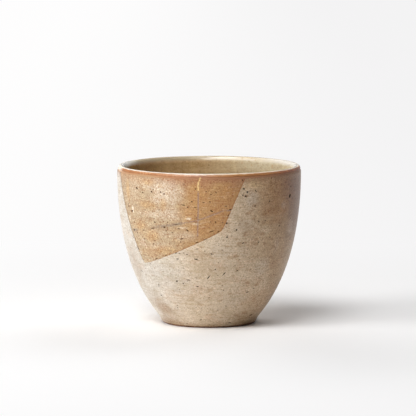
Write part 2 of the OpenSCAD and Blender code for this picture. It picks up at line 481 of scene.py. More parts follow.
def trace(name, points):
    """A new mesh that is one chain of edges: a point is drawn out along the outline."""
    deselect_all()
    bpy.ops.mesh.primitive_plane_add(size=SEED_POINT, location=points[0])
    piece = bpy.context.object
    piece.name = piece.data.name = name
    bpy.ops.object.transform_apply(location=True, rotation=True, scale=True)
    edit(piece)
    bpy.ops.mesh.merge(type="CENTER")
    for here, there in zip(points, points[1:]):
        bpy.ops.mesh.extrude_vertices_move(TRANSFORM_OT_translate={"value": there - here})
    return piece


def spin(piece):
    """Spins a traced outline round the cup's axis into a closed skin."""
    edit(piece)
    bpy.ops.mesh.spin(steps=sizes().sides, angle=math.tau, center=(0, 0, 0), axis=(0, 0, 1))
    bpy.ops.mesh.select_all(action="SELECT")
    bpy.ops.mesh.remove_doubles(threshold=MERGE_GAP)
    bpy.ops.mesh.normals_make_consistent(inside=False)
    bpy.ops.object.mode_set(mode="OBJECT")


def ease(value, low, high):
    """0 below low, 1 above high and smooth between."""
    t = min(max((value - low) / (high - low), 0.0), 1.0)
    return t * t * (3 - 2 * t)


def throw(piece):
    """Moves the skin by the small ways in which a hand-thrown wall strays from a true circle."""
    s = sizes()
    radius_at = outside_radius()
    for vertex in piece.data.vertices:
        x, y, z = vertex.co
        r = math.hypot(x, y)
        if r < MERGE_GAP:
            continue
        around = math.atan2(y, x)
        way = Vector((x / r, y / r, 0))
        up = ease(z, 3 * MM, 20 * MM)
        inside = ease(radius_at(z) - r, 0.8 * MM, 2.0 * MM) * ease(z, 5 * MM, 7 * MM)
        sway = 0.5 + 0.25 * math.sin(2 * around + 0.7) + 0.25 * math.sin(3 * around + 2.1)
        lumps = noise.noise(Vector((x, y, z)) * 55) * 0.5 + 0.5
        shift = -s.unevenness * up * (0.6 * sway + 0.4 * lumps)
        faint = 0.5 + 0.5 * math.sin(math.tau * z / TURNING_PITCH + around)
        shift -= TURNING_DEPTH * faint * up * (1 - inside)
        finger = math.sin(math.tau * (r + z) / FINGER_PITCH + around + 1.5 * noise.noise(way * 1.7))
        depth = s.throwing * inside * ease(CLAY_H - 3 * MM - z, 0, 5 * MM) * ease(r, 2 * MM, 7 * MM)
        bowl = Vector((-x / r, -y / r, 0)).lerp(Vector((0, 0, 1)), ease(16 * MM - z, 0, 8 * MM))
        vertex.co += way * shift + bowl.normalized() * (depth * finger)
        brim = ease(z, 60 * MM, 74 * MM)
        ripple = noise.noise(way * 2.3 + Vector((5, 3, 1)))
        drips = noise.noise(way * 9 + Vector((1, 8, 4)))
        vertex.co.z -= BRIM_RIPPLE * brim * (0.5 + 0.5 * ripple)
        near_line = math.exp(-((z - LAP_Z) / DRIP_SPREAD) ** 2) * (1 - inside)
        vertex.co.z += LINE_DRIP * drips * near_line


def keep_faces(piece, wanted):
    """Deletes every face of a piece whose centre isn't wanted."""
    edit(piece, "FACE")
    mesh = bmesh.from_edit_mesh(piece.data)
    for face in mesh.faces:
        face.select_set(not wanted(face.calc_center_median()))
    bmesh.update_edit_mesh(piece.data)
    bpy.ops.mesh.delete(type="FACE")
    bpy.ops.object.mode_set(mode="OBJECT")


def coat(name, clay, wanted, thickness, melt=GLAZE_MELT):
    """A glaze: the wanted faces of the clay, thickened outwards, with melted edges."""
    make_active(clay)
    bpy.ops.object.duplicate()
    piece = bpy.context.object
    piece.name = piece.data.name = name
    piece.data.materials.clear()
    keep_faces(piece, wanted)
    apply_modifier(piece, "SOLIDIFY", thickness=thickness, offset=1.0, use_even_offset=True)
    apply_modifier(piece, "BEVEL", width=melt, segments=2, limit_method="ANGLE",
                   angle_limit=math.radians(MELT_ANGLE))
    return piece


def near_outside():
    """A test for points of the clay's skin that lie on its outside."""
    radius_at = outside_radius()
    half = sizes().lip_width / 2
    return lambda place: math.hypot(place.x, place.y) > radius_at(place.z) - half


def on_outside(low, high):
    """A test for places on the clay's outside between two heights."""
    outer = near_outside()
    return lambda place: low < place.z < high and outer(place)


def on_inside():
    """A test for places on the clay's inside, with the lip down to the iron line."""
    outer = near_outside()
    return lambda place: place.z > LAP_Z or (place.z > FLOOR_Z - MM and not outer(place))


def eased(before, corner, after):
    """A corner of an outline, drawn in towards the middle of its neighbours."""
    return before.lerp(after, 0.5).lerp(corner, CORNER_SHARE)


def window_outline():
    """The window's border as points across and up, with the corners eased."""
    left = curve(WINDOW_LEFT, WINDOW_STEPS)
    foot = curve(WINDOW_FOOT, WINDOW_STEPS)
    right = curve(WINDOW_RIGHT, WINDOW_STEPS)
    shares = left[:-1] + [eased(left[-2], left[-1], foot[1])] + foot[1:-1]
    shares += [eased(foot[-2], foot[-1], right[1])] + right[1:]
    return [Vector((p.x * MOUTH_R, p.y * CLAY_H)) for p in shares]


def window_block():
    """A block that stands in the window and reaches out past the cup's front."""
    block = trace("window_block", [Vector((p.x, 0, p.y)) for p in window_outline()])
    bpy.ops.mesh.select_all(action="SELECT")
    bpy.ops.mesh.edge_face_add()
    bpy.ops.mesh.extrude_region_move(TRANSFORM_OT_translate={"value": (0, -1.2 * MOUTH_R, 0)})
    bpy.ops.mesh.select_all(action="SELECT")
    bpy.ops.mesh.normals_make_consistent(inside=False)
    bpy.ops.object.mode_set(mode="OBJECT")
    return block


def camera_matrix():
    """Where the camera stands and looks: level with the photograph's."""
    s = studio()
    down = math.atan2(s.height - s.aim_height, s.distance)
    place = Matrix.Translation((-s.aside, -s.distance, s.height))
    return place @ Euler((math.pi / 2 - down, 0, 0)).to_matrix().to_4x4()


def seen_on(piece, px, py):
    """The point and the normal of a piece that a pixel of the photograph shows."""
    across = SENSOR_MM / studio().lens / PHOTO_PX
    ray = Vector(((px - PHOTO_PX / 2) * across, (PHOTO_PX / 2 - py) * across, -1))
    matrix = camera_matrix()
    hit, place, normal, _ = piece.ray_cast(matrix.translation, matrix.to_3x3() @ ray)
    if not hit:
        raise RuntimeError(f"pixel {px}, {py} doesn't show {piece.name}")
    return place, normal


def pixel():
    """The size on the cup that one pixel of the photograph spans."""
    s = studio()
    return s.distance * SENSOR_MM / s.lens / PHOTO_PX


def dimple(place, normal, width, height, tilt, deepest):
    """One cutter for a pit: a small ball, flattened, turned and sunk where the pit is."""
    deselect_all()
    bpy.ops.mesh.primitive_ico_sphere_add(subdivisions=2, radius=0.5)
    ball = bpy.context.object
    side = Vector((0, 0, 1)).cross(normal).normalized()
    rise = normal.cross(side)
    turn = math.radians(tilt)
    along = side * math.cos(turn) + rise * math.sin(turn)
    over = normal.cross(along)
    deep = min(min(width, height), 2 * deepest)
    for vertex in ball.data.vertices:
        vertex.co *= 1 + PIT_RAGGEDNESS * noise.noise(vertex.co * 3 + place * 900)
    basis = Matrix((along * width, over * height, normal * deep)).transposed().to_4x4()
    ball.data.transform(Matrix.Translation(place) @ basis)
    return ball


def pit_cutters(name, tint, marks, deepest):
    """The cutters of one glaze in one mesh. A mark is a place, a normal, a width, a height and a tilt."""
    balls = [dimple(*mark, deepest) for mark in marks]
    deselect_all()
    for ball in balls:
        ball.select_set(True)
    bpy.context.view_layer.objects.active = balls[0]
    bpy.ops.object.join()
    cutters = bpy.context.object
    cutters.name = cutters.data.name = name
    paint_burnt(cutters, tint)
    return cutters


def marks_seen(piece, table):
    """The marks of a table of pixels, on the piece."""
    size = pixel()
    return [(*seen_on(piece, px, py), w * size, h * size, tilt) for px, py, w, h, tilt in table]


def marks_round_the_back(piece):
    """Marks scattered over the side of the cup that the photograph doesn't show."""
    draw = random.Random(BACK_SEED)
    made = []
    while len(made) < BACK_PITS:
        around = math.radians(draw.uniform(*BACK_ROUND))
        z = draw.uniform(*BACK_UP) * MM
        out = Vector((math.sin(around), -math.cos(around), 0))
        hit, place, normal, _ = piece.ray_cast(out * 0.2 + Vector((0, 0, z)), -out)
        if hit:
            dash = draw.random() < LONG_SHARE
            width = draw.uniform(1.0, 2.6) * MM if dash else draw.triangular(0.35, 1.3, 0.45) * MM
            height = draw.uniform(0.32, 0.5) * MM if dash else width * draw.uniform(0.5, 1.2)
            made.append((place, normal, width, height, draw.uniform(-60, 60)))
    return made


def cut(piece, cutter, operation):
    """Cuts a piece with another one and takes the cutter away."""
    apply_modifier(piece, "BOOLEAN", operation=operation, object=cutter, solver="EXACT",
                   material_mode="TRANSFER")
    bpy.data.objects.remove(cutter)


def smooth(piece):
    """Smooth shading with the rims of the glaze and the pits left crisp."""
    make_active(piece)
    bpy.ops.object.shade_smooth_by_angle(angle=math.radians(CRISP_ANGLE))


def store_border(piece):
    """Stores how far each point lies from the window's border, in metres."""
    outline = window_outline()
    a = np.array([tuple(p) for p in outline[:-1]])
    b = np.array([tuple(p) for p in outline[1:]])
    co = np.empty(len(piece.data.vertices) * 3)
    piece.data.vertices.foreach_get("co", co)
    co = co.reshape(-1, 3)
    flat = co[:, (RIGHT, UP)]
    along = b - a
    share = np.einsum("nsk,sk->ns", flat[:, None] - a, along) / (along ** 2).sum(1)
    nearest = a + np.clip(share, 0, 1)[..., None] * along
    away = np.linalg.norm(flat[:, None] - nearest, axis=2).min(1)
    away[co[:, BACK] > 0] = FAR_AWAY
    attribute = piece.data.attributes.new("border", "FLOAT", "POINT")
    attribute.data.foreach_set("value", away.astype(np.float32))


class Nodes:
    """A node tree that is being wired up, with short calls for the nodes that repeat."""

    def __init__(self, tree):
        self.tree = tree

    def feed(self, socket, value):
        """Links a socket, or sets its value."""
        if isinstance(value, bpy.types.NodeSocket):
            self.tree.links.new(value, socket)
        elif socket.type == "RGBA":
            socket.default_value = colour(value)
        else:
            socket.default_value = value

    def add(self, kind, inputs=(), **settings):
        """A node with its settings, and its inputs by name or number."""
        node = self.tree.nodes.new("ShaderNode" + kind)
        for key, value in settings.items():
            setattr(node, key, value)
        for key, value in dict(inputs).items():
            self.feed(node.inputs[key], value)
        return node

    def math(self, operation, a, b=0.0, clamp=False):
        """A sum on two values."""
        return self.add("Math", {0: a, 1: b}, operation=operation, use_clamp=clamp).outputs[0]

    def times(self, a, b):
        """One value times another."""
        return self.math("MULTIPLY", a, b)

    def vector(self, operation, a, b=(0, 0, 0)):
        """A sum on two vectors."""
        return self.add("VectorMath", {0: a, 1: b}, operation=operation)

    def mix(self, factor, a, b, blend="MIX"):
        """One colour over another."""
        node = self.add("Mix", {0: factor, 6: a, 7: b}, data_type="RGBA", blend_type=blend)
        return node.outputs[2]

    def ease(self, value, low, high, to_low=0.0, to_high=1.0):
        """A value brought smoothly from one span to another."""
        inputs = {0: value, 1: low, 2: high, 3: to_low, 4: to_high}
        return self.add("MapRange", inputs, interpolation_type="SMOOTHSTEP").outputs[0]

    def place(self, scale=(1, 1, 1)):
        """Object coordinates, stretched."""
        where = self.add("TexCoord").outputs["Object"]
        return self.vector("MULTIPLY", where, scale).outputs[0]

    def along(self, axis):
        """One of the object coordinates, as a value."""
        return self.add("SeparateXYZ", {0: self.add("TexCoord").outputs["Object"]}).outputs[axis]

    def across(self, low, high, to_low=0.0, to_high=1.0):
        """The way to the right of the cup's axis, brought from a span in millimetres to another."""
        return self.ease(self.along(RIGHT), low * MM, high * MM, to_low, to_high)

    def noise(self, where, size, detail=2.0, distortion=0.0, roughness=0.5):
        """Noise whose clouds are about as large as size, in metres."""
        inputs = {"Vector": where, "Scale": 1 / size, "Detail": detail, "Distortion": distortion,
                  "Roughness": roughness}
        return self.add("TexNoise", inputs).outputs["Fac"]

    def group(self, name, **inputs):
        """One of the shared node groups, with its own values."""
        return self.add("Group", inputs, node_tree=bpy.data.node_groups[name]).outputs[0]


def new_group(name, **inputs):
    """A new node group with a socket for each input, and its tree, inner inputs and inner output."""
    tree = bpy.data.node_groups.new(name, "ShaderNodeTree")
    for label, value in inputs.items():
        kind = "NodeSocketFloat" if isinstance(value, float) else "NodeSocketVector"
        tree.interface.new_socket(label, in_out="INPUT", socket_type=kind).default_value = value
    tree.interface.new_socket("Mask", in_out="OUTPUT", socket_type="NodeSocketFloat")
    given = tree.nodes.new("NodeGroupInput").outputs
    result = tree.nodes.new("NodeGroupOutput").inputs
    return Nodes(tree), given, result


def make_streaks():
    """Group: bands that run round the cup, as the wheel leaves them in a thin glaze."""
    n, given, result = new_group("Streaks", Height=0.001, Length=0.02, Low=0.45, High=0.65)
    wide = n.math("DIVIDE", 1, given["Length"])
    scale = n.add("CombineXYZ", {0: wide, 1: wide, 2: n.math("DIVIDE", 1, given["Height"])}).outputs[0]
    value = n.add("TexNoise", {"Vector": n.place(scale), "Scale": 1.0, "Detail": 3.0, "Distortion": 0.3})
    n.feed(result[0], n.ease(value.outputs["Fac"], given["Low"], given["High"]))


def make_soft_spot():
    """Group: one ragged cloud at a place."""
    n, given, result = new_group("Soft spot", Centre=(0, 0, 0), Width=0.01, Height=0.01, Raggedness=0.5)
    away = n.vector("SUBTRACT", n.place(), given["Centre"]).outputs[0]
    wide = n.math("DIVIDE", 2, given["Width"])
    scale = n.add("CombineXYZ", {0: wide, 1: wide, 2: n.math("DIVIDE", 2, given["Height"])}).outputs[0]
    far = n.vector("LENGTH", n.vector("MULTIPLY", away, scale).outputs[0]).outputs["Value"]
    rag = n.math("SUBTRACT", n.noise(n.place(), 4 * MM, 4.0), 0.5)
    far = n.math("ADD", far, n.times(rag, n.times(given["Raggedness"], 2)))
    n.feed(result[0], n.ease(far, 1.3, 0.2))


def make_fine_line():
    """Group: a fine straight line between two places."""
    n, given, result = new_group("Fine line", Start=(0, 0, 0), End=(0, 0, 0), Width=0.0005)
    away = n.vector("SUBTRACT", n.place(), given["Start"]).outputs[0]
    along = n.vector("SUBTRACT", given["End"], given["Start"]).outputs[0]
    share = n.math("DIVIDE", n.vector("DOT_PRODUCT", away, along).outputs["Value"],
                   n.vector("DOT_PRODUCT", along, along).outputs["Value"], clamp=True)
    foot = n.add("VectorMath", {0: along, "Scale": share}, operation="SCALE").outputs[0]
    far = n.vector("LENGTH", n.vector("SUBTRACT", away, foot).outputs[0]).outputs["Value"]
    near = n.math("SUBTRACT", 1, n.math("DIVIDE", far, given["Width"]), clamp=True)
    n.feed(result[0], n.ease(near, 0.0, 0.8))


def make_specks():
    """Group: scattered specks of burnt grit, flatter than wide where Flatness is above 1."""
    n, given, result = new_group("Specks", Spacing=0.003, Size=0.0004, Share=0.3, Flatness=1.0)
    where = n.add("TexCoord").outputs["Object"]
    warp = n.add("TexNoise", {"Vector": where, "Scale": 900.0}).outputs["Color"]
    warp = n.add("VectorMath", {0: warp, "Scale": 0.0005}, operation="SCALE").outputs[0]
    flat = n.add("CombineXYZ", {0: 1.0, 1: 1.0, 2: given["Flatness"]}).outputs[0]
    where = n.vector("MULTIPLY", n.vector("ADD", where, warp).outputs[0], flat).outputs[0]
    cells = n.add("TexVoronoi", {"Vector": where, "Scale": n.math("DIVIDE", 1, given["Spacing"])})
    chance = n.add("SeparateColor", {0: cells.outputs["Color"]})
    radius = n.times(n.math("DIVIDE", given["Size"], given["Spacing"]),
                     n.math("ADD", 0.35, n.times(chance.outputs[1], 0.65)))
    dot = n.ease(cells.outputs["Distance"], radius, n.times(radius, 0.4))
    n.feed(result[0], n.times(dot, n.math("LESS_THAN", chance.outputs[0], given["Share"])))


def make_worms():
    """Group: thin wandering lines, as a crawling glaze leaves them."""
    n, given, result = new_group("Worms", Size=0.0015, Thickness=0.06, Flatness=1.0)
    flat = n.add("CombineXYZ", {0: 1.0, 1: 1.0, 2: given["Flatness"]}).outputs[0]
    value = n.add("TexNoise", {"Vector": n.place(flat), "Scale": n.math("DIVIDE", 1, given["Size"]),
                               "Detail": 1.5, "Distortion": 0.8}).outputs["Fac"]
    off = n.math("ABSOLUTE", n.math("SUBTRACT", value, 0.5))
    n.feed(result[0], n.ease(off, given["Thickness"], 0.0))


def make_groups():
    """The effects that more than one glaze uses."""
    make_streaks()
    make_soft_spot()
    make_fine_line()
    make_specks()
    make_worms()


class Paint(Nodes):
    """The material of one piece, with a base colour that is laid on in layers."""

    def __init__(self, name, piece, roughness, coat_weight=0.0, coat_roughness=0.1):
        made = bpy.data.materials.new(name)
        made.use_nodes = True
        super().__init__(made.node_tree)
        self.shader = made.node_tree.nodes["Principled BSDF"]
        self.piece = piece
        self.base = None
        self.set("Roughness", roughness)
        self.set("Coat Weight", coat_weight)
        self.set("Coat Roughness", coat_roughness)
        piece.data.materials.append(made)

    def set(self, name, value):
        """Feeds one of the shader's sockets."""
        self.feed(self.shader.inputs[name], value)

    def over(self, mask, strength, tint, blend="MIX"):
        """Lays a tint over the colour where a mask lets it."""
        self.base = self.mix(self.times(mask, strength), self.base, tint, blend)

    def deepen(self, mask, strength, tint):
        """Darkens the colour by a tint and keeps its hue."""
        self.over(mask, strength, tint, "MULTIPLY")

    def lighten(self, mask, strength, tint):
        """Lightens the colour by a tint and keeps its hue."""
        self.over(mask, strength, tint, "DODGE")

    def blush(self, reach, strength, tint):
        """Lays on a tint that bleeds down from the iron line, in uneven tongues."""
        tongues = self.ease(self.noise(self.place((1, 1, 0.3)), 5 * MM, 3.0), 0.3, 0.7, 0.35, 1.0)
        low = self.math("SUBTRACT", LINE_Z, self.times(tongues, reach))
        self.over(self.ease(self.along(UP), low, LINE_Z), strength, tint)

    def clouds(self, table):
        """Lays on the soft clouds of a table."""
        size = pixel()
        for tint, rows in table:
            for px, py, width, height, strength in rows:
                centre, _ = seen_on(self.piece, px, py)
                spot = self.group("Soft spot", Centre=centre, Width=width * size, Height=height * size)
                self.over(spot, strength, tint)

    def crack(self, tint, strength, width, points):
        """Lays on a fine broken line along points of the photograph."""
        mask = 0.0
        for start, end in zip(points, points[1:]):
            part = self.group("Fine line", Start=seen_on(self.piece, *start)[0],
                              End=seen_on(self.piece, *end)[0], Width=width * pixel())
            mask = self.math("MAXIMUM", mask, part)
        broken = self.ease(self.noise(self.place(), 1.5 * MM, 2.0), 0.2, 0.5)
        self.over(self.times(mask, broken), strength, tint)

    def finish(self, height, depth):
        """Gives the shader its colour and the small relief of a height, at most as deep as depth."""
        self.set("Base Color", self.base)
        relief = self.add("Bump", {"Height": height, "Distance": depth, "Strength": 1.0})
        self.set("Normal", relief.outputs[0])


def paint_clay(piece):
    """Bare clay: brown, matte, with grains of grit and the marks of the turning tool."""
    p = Paint("bare_clay", piece, 0.9)
    grit = p.group("Specks", Spacing=1.3 * MM, Size=0.5 * MM, Share=0.5)
    cloud = p.ease(p.noise(p.place(), 6 * MM, 4.0), 0.35, 0.7)
    p.base = p.mix(cloud, "clay", (0.22, 0.11, 0.06))
    p.over(grit, 0.7, (0.42, 0.30, 0.2))
    rough = p.noise(p.place(), 0.35 * MM, 3.0)
    p.finish(p.math("ADD", rough, p.times(grit, 0.8)), 0.12 * MM)


def paint_ash(piece):
    """Ash glaze: pale, mottled and finely specked, browner where it runs thin, with painted light and
    shade: paler towards the lit left, browner and darker towards the shaded right edge.
    """
    p = Paint("ash_glaze", piece, 0.42, 0.25, 0.3)
    # Paler towards the lit left and browner towards the shaded right: partly the glaze's own colour,
    # partly painted light and shade
    p.base = p.mix(p.across(0, -32), "ash", "ash_pale")
    p.over(p.across(2, 36), 0.85, (0.41, 0.245, 0.105))
    p.clouds(DARK_CLOUDS)
    # Painted shade: the upper right flank, which faces away from the lamps, darkened to a deep brown
    edge = p.times(p.across(33, 42), p.ease(p.along(UP), 28 * MM, 56 * MM))
    p.over(edge, 0.8, (0.17, 0.064, 0.014))
    p.clouds(PALE_CLOUDS)
    olive = p.ease(p.noise(p.place((1, 1, 1.3)), 6 * MM, 4.0, 0.5), 0.48, 0.62)
    p.deepen(olive, 0.32, (0.72, 0.66, 0.52))
    rosy = p.ease(p.noise(p.place((1, 1, 1.4)), 8 * MM, 3.0, 0.8, 0.6), 0.5, 0.66)
    p.deepen(rosy, 0.32, (0.92, 0.74, 0.62))
    streaks = p.group("Streaks", Height=0.8 * MM, Length=12 * MM, Low=0.5, High=0.66)
    p.deepen(streaks, 0.3, (0.68, 0.53, 0.36))
    blots = p.group("Specks", Spacing=4.2 * MM, Size=2.2 * MM, Share=0.4, Flatness=1.8)
    p.deepen(p.times(blots, p.across(-25, 30, 0.35, 1.0)), 0.6, (0.62, 0.44, 0.25))
    p.blush(5 * MM, 0.65, (0.30, 0.155, 0.075))
    p.over(p.ease(p.along(UP), 3.5 * MM, BARE_Z), 0.5, "ash_brown")
    finish_glaze(p, p.across(5, 32, 0.58, 0.95), 0.38, (0.54, 0.39, 0.25), (0.30, 0.32, 0.34))


def finish_glaze(p, fine, broad, shade, light):
    """The texture that both outside glazes share: clouds, grain, crawling lines, specks and relief."""
    grain = p.noise(p.place(), 0.7 * MM, 2.0, 0.0, 0.7)
    stain = p.noise(p.place((1, 1, 2.0)), 2.2 * MM, 3.0, 0.6, 0.6)
    cloud = p.noise(p.place((1, 1, 1.6)), 4.5 * MM, 3.0, 0.5, 0.6)
    pale = p.group("Worms", Size=1.6 * MM, Thickness=0.05, Flatness=1.3)
    dark = p.group("Worms", Size=2.1 * MM, Thickness=0.03, Flatness=1.8)
    for mask, strength, share in ((cloud, broad, 0.25), (stain, broad, 0.42), (grain, fine, 1.0)):
        strength = p.times(strength, share)
        p.deepen(p.ease(mask, 0.52, 0.7), strength, shade)
        p.lighten(p.ease(mask, 0.48, 0.3), strength, light)
    p.lighten(pale, p.times(fine, 0.6), light)
    p.deepen(dark, p.times(fine, 0.75), shade)
    specks = p.group("Specks", Spacing=2.0 * MM, Size=0.6 * MM, Share=0.35, Flatness=1.7)
    p.over(specks, 0.75, BURNT_GRIT)
    p.set("Roughness", p.ease(grain, 0.2, 0.8, 0.34, 0.56))
    swell = p.noise(p.place((1, 1, 2.5)), 3 * MM, 4.0)
    relief = p.math("ADD", p.times(swell, 1.2), p.times(grain, 0.4))
    relief = p.math("ADD", relief, p.times(pale, 0.2))
    p.finish(p.math("SUBTRACT", relief, p.times(specks, 0.8)), 0.12 * MM)


def paint_orange(piece):
    """Orange glaze: thin, pitted and streaked by the turning wheel, with pale worms of ash."""
    p = Paint("orange_glaze", piece, 0.45, 0.25, 0.3)
    p.base = p.mix(p.across(-5, -22), "orange", (0.42, 0.312, 0.19))
    p.clouds(ORANGE_CLOUDS)
    streaks = p.group("Streaks", Height=0.8 * MM, Length=11 * MM, Low=0.5, High=0.64)
    p.deepen(streaks, 0.2, (0.76, 0.56, 0.38))
    thin = p.group("Streaks", Height=0.6 * MM, Length=4 * MM, Low=0.55, High=0.66)
    p.over(thin, 0.22, (0.74, 0.58, 0.38))
    blots = p.group("Specks", Spacing=3.4 * MM, Size=1.9 * MM, Share=0.5, Flatness=1.8)
    p.deepen(blots, 0.25, (0.74, 0.46, 0.24))
    p.blush(8 * MM, p.across(-30, -6, 0.25, 0.8), "blush")
    p.blush(6 * MM, p.across(-28, -36, 0.0, 0.3), (0.42, 0.22, 0.085))
    for crack in CRACKS:
        p.crack(*crack)
    away = p.add("Attribute", attribute_name="border").outputs["Fac"]
    ragged = p.times(p.noise(p.place(), 2.5 * MM, 2.0), 1.7 * MM)
    edge = p.ease(p.math("SUBTRACT", away, ragged), 0.1 * MM, -0.8 * MM)
    p.deepen(p.times(edge, p.across(-30, -20, 0.2, 1.0)), 0.5, (0.66, 0.40, 0.22))
    fine = p.across(-24, 0, 1.0, 0.75)
    finish_glaze(p, fine, p.across(-24, 0, 0.5, 0.32), (0.62, 0.35, 0.16), (0.28, 0.33, 0.36))


def paint_inside(piece):
    """Inside glaze: glossy olive with painted shade and light, darker on the left wall and paler on the
    lit right, pale cream where it thins on the lip.
    """
    p = Paint("inside_glaze", piece, 0.16, 0.5, 0.06)
    # Painted shade and light: darker on the left inner wall, which faces away from the lamps, paler on
    # the lit right
    p.base = p.mix(p.across(-14, 30), (0.485, 0.312, 0.143), "inside_pale")
    p.over(p.across(-14, -34), 1.0, "inside")
    streaks = p.group("Streaks", Height=2.2 * MM, Length=20 * MM, Low=0.42, High=0.7)
    p.deepen(streaks, 0.3, (0.72, 0.62, 0.48))
    runs = p.ease(p.noise(p.place((1, 1, 0.15)), 3 * MM, 3.0), 0.45, 0.7)
    p.lighten(runs, 0.45, (0.22, 0.26, 0.26))
    grain = p.noise(p.place(), 0.9 * MM, 3.0, 0.0, 0.7)
    p.lighten(p.ease(grain, 0.5, 0.75), 0.4, (0.28, 0.30, 0.32))
    p.deepen(p.ease(grain, 0.5, 0.25), 0.45, (0.5, 0.4, 0.26))
    stain = p.noise(p.place((1, 1, 1.5)), 2.4 * MM, 3.0, 0.6, 0.6)
    p.deepen(p.ease(stain, 0.52, 0.68), 0.35, (0.56, 0.42, 0.26))
    p.over(p.group("Specks", Spacing=3 * MM, Size=0.6 * MM, Share=0.3), 0.6, (0.14, 0.08, 0.04))
    # Painted highlight: a pale band just under the rim, fading out to the right
    painted_light_under_rim = p.ease(p.along(UP), CLAY_H - 3.4 * MM, CLAY_H - 1.4 * MM)
    p.lighten(p.times(painted_light_under_rim, p.across(20, 8)), 0.55, (0.26, 0.28, 0.30))
    # Painted light: the far-left inside wall under the lip, which faces away from the lamps, whitened
    corner = p.ease(p.along(UP), CLAY_H - 8 * MM, CLAY_H - 3 * MM)
    p.over(p.times(corner, p.across(-37.5, -40.5)), 0.85, (0.86, 0.83, 0.77))
    paint_lip(p)
    swell = p.noise(p.place(), 5 * MM, 2.0)
    p.finish(p.math("ADD", swell, p.times(grain, 0.04)), 0.08 * MM)


def paint_lip(p):
    """The inside glaze on the lip: cream on top, tan to the right, thin and brown where it ends."""
    rise = p.math("ADD", p.along(UP), p.times(p.noise(p.place(), 3 * MM, 2.0), 0.5 * MM))
    outward = p.vector("LENGTH", p.place((1, 1, 0))).outputs["Value"]
    tan = p.across(-10, 14)
    top = p.mix(tan, "lip", (0.66, 0.58, 0.48))
    top = p.mix(p.ease(p.along(BACK), 0, 20 * MM), top, (0.52, 0.44, 0.33))
    shy = p.mix(p.across(-16, 0), (0.45, 0.36, 0.23), (0.60, 0.50, 0.35))
    shy = p.mix(p.across(20, 38), shy, (0.66, 0.625, 0.555))
    # Painted light: the turned-in lip at the far left, which faces away from the lamps, whitened
    shy = p.mix(p.across(-33, -41), shy, (0.94, 0.92, 0.88))
    turned_in = p.ease(outward, MOUTH_R - 1.2 * MM, MOUTH_R - 2.2 * MM)
    on_top = p.ease(rise, CLAY_H - 2.2 * MM, CLAY_H + 0.1 * MM)
    p.over(on_top, 1.0, p.mix(turned_in, top, shy))
    flecks = p.group("Specks", Spacing=1.6 * MM, Size=0.9 * MM, Share=0.4)
    p.over(p.times(flecks, tan), 0.5, (0.45, 0.28, 0.13))
    facing_out = p.ease(outward, MOUTH_R - 1.2 * MM, MOUTH_R - 0.4 * MM)
    fall = p.times(p.ease(rise, CLAY_H + 0.55 * MM, CLAY_H + 0.2 * MM), facing_out)
    p.over(p.times(fall, tan), 1.0, "lip_edge")
    low_rise = p.math("SUBTRACT", rise, p.across(8, 32, 0.0, 0.32 * MM))
    low_rise = p.math("SUBTRACT", low_rise, p.across(-6, -26, 0.0, 0.2 * MM))
    thin = p.ease(low_rise, LAP_Z + 1.32 * MM, LAP_Z + 1.06 * MM)
    p.over(p.times(thin, facing_out), 1.0, iron_tint(p))
    outer = p.ease(outward, MOUTH_R - 1.8 * MM, MOUTH_R - 0.9 * MM)
    p.set("Roughness", p.math("ADD", 0.16, p.times(outer, 0.22)))
    p.set("Coat Weight", p.math("SUBTRACT", 0.5, p.times(outer, 0.4)))


def iron_tint(n):
    """The iron line's colour: dark red-brown at the right, a broken orange-brown at the left, and
    whitened at the far left edge as a painted sheen.
    """
    brushed = n.place((1, 1, 0.4))
    uneven = n.ease(n.noise(brushed, 3 * MM, 3.0), 0.35, 0.65)
    gaps = n.ease(n.noise(brushed, 1.3 * MM, 2.0), 0.5, 0.66)
    left = n.across(4, -16)
    tint = n.mix(uneven, "iron", (0.30, 0.11, 0.038))
    for mask, strength, other in (
        (n.times(n.across(-4, 4), n.across(34, 26)), 0.75, (0.36, 0.155, 0.045)),
        (left, 0.85, (0.39, 0.17, 0.065)),
        (n.times(gaps, left), 0.4, (0.54, 0.34, 0.19)),
        (n.across(-33, -37), 0.7, (0.30, 0.11, 0.032)),
        # Painted sheen: the far left edge, where the lamps graze the line, whitened
        (n.across(-40.5, -42.6), 0.85, (0.78, 0.68, 0.58)),
    ):
        tint = n.mix(n.times(mask, strength), tint, other)
    return tint


def paint_iron(piece):
    """Iron line: rust red to nearly black, paler downwards, uneven as a brush leaves it."""
    p = Paint("iron_line", piece, 0.5, 0.2, 0.3)
    under = p.mix(p.across(-16, -28), (0.39, 0.19, 0.10), (0.43, 0.27, 0.145))
    under = p.mix(p.across(-32, -37), under, (0.42, 0.235, 0.12))
    under = p.mix(p.across(24, 38), under, (0.28, 0.135, 0.065))
    p.base = iron_tint(p)
    p.over(p.ease(p.along(UP), LAP_Z + 0.2 * MM, LINE_Z + 0.4 * MM), 0.85, under)
    p.crack(*CRACK_IN_THE_LINE)
    p.finish(p.noise(p.place(), 0.6 * MM, 2.0), 0.06 * MM)


def paint_burnt(cutters, tint):
    """The burnt inside of the pits of one glaze."""
    p = Paint(cutters.name, cutters, 0.75)
    p.set("Specular IOR Level", 0.3)
    uneven = p.noise(p.place(), 2 * MM, 1.0)
    p.set("Base Color", p.mix(p.ease(uneven, 0.5, 0.8), tint, BURNT_GRIT))


def finish_piece(piece, node):
    """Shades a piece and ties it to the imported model."""
    smooth(piece)
    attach(piece, "root")
    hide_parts(node)


def clay_piece():
    """The clay that the glazes lie on."""
    return bpy.data.objects["thrown_clay"]


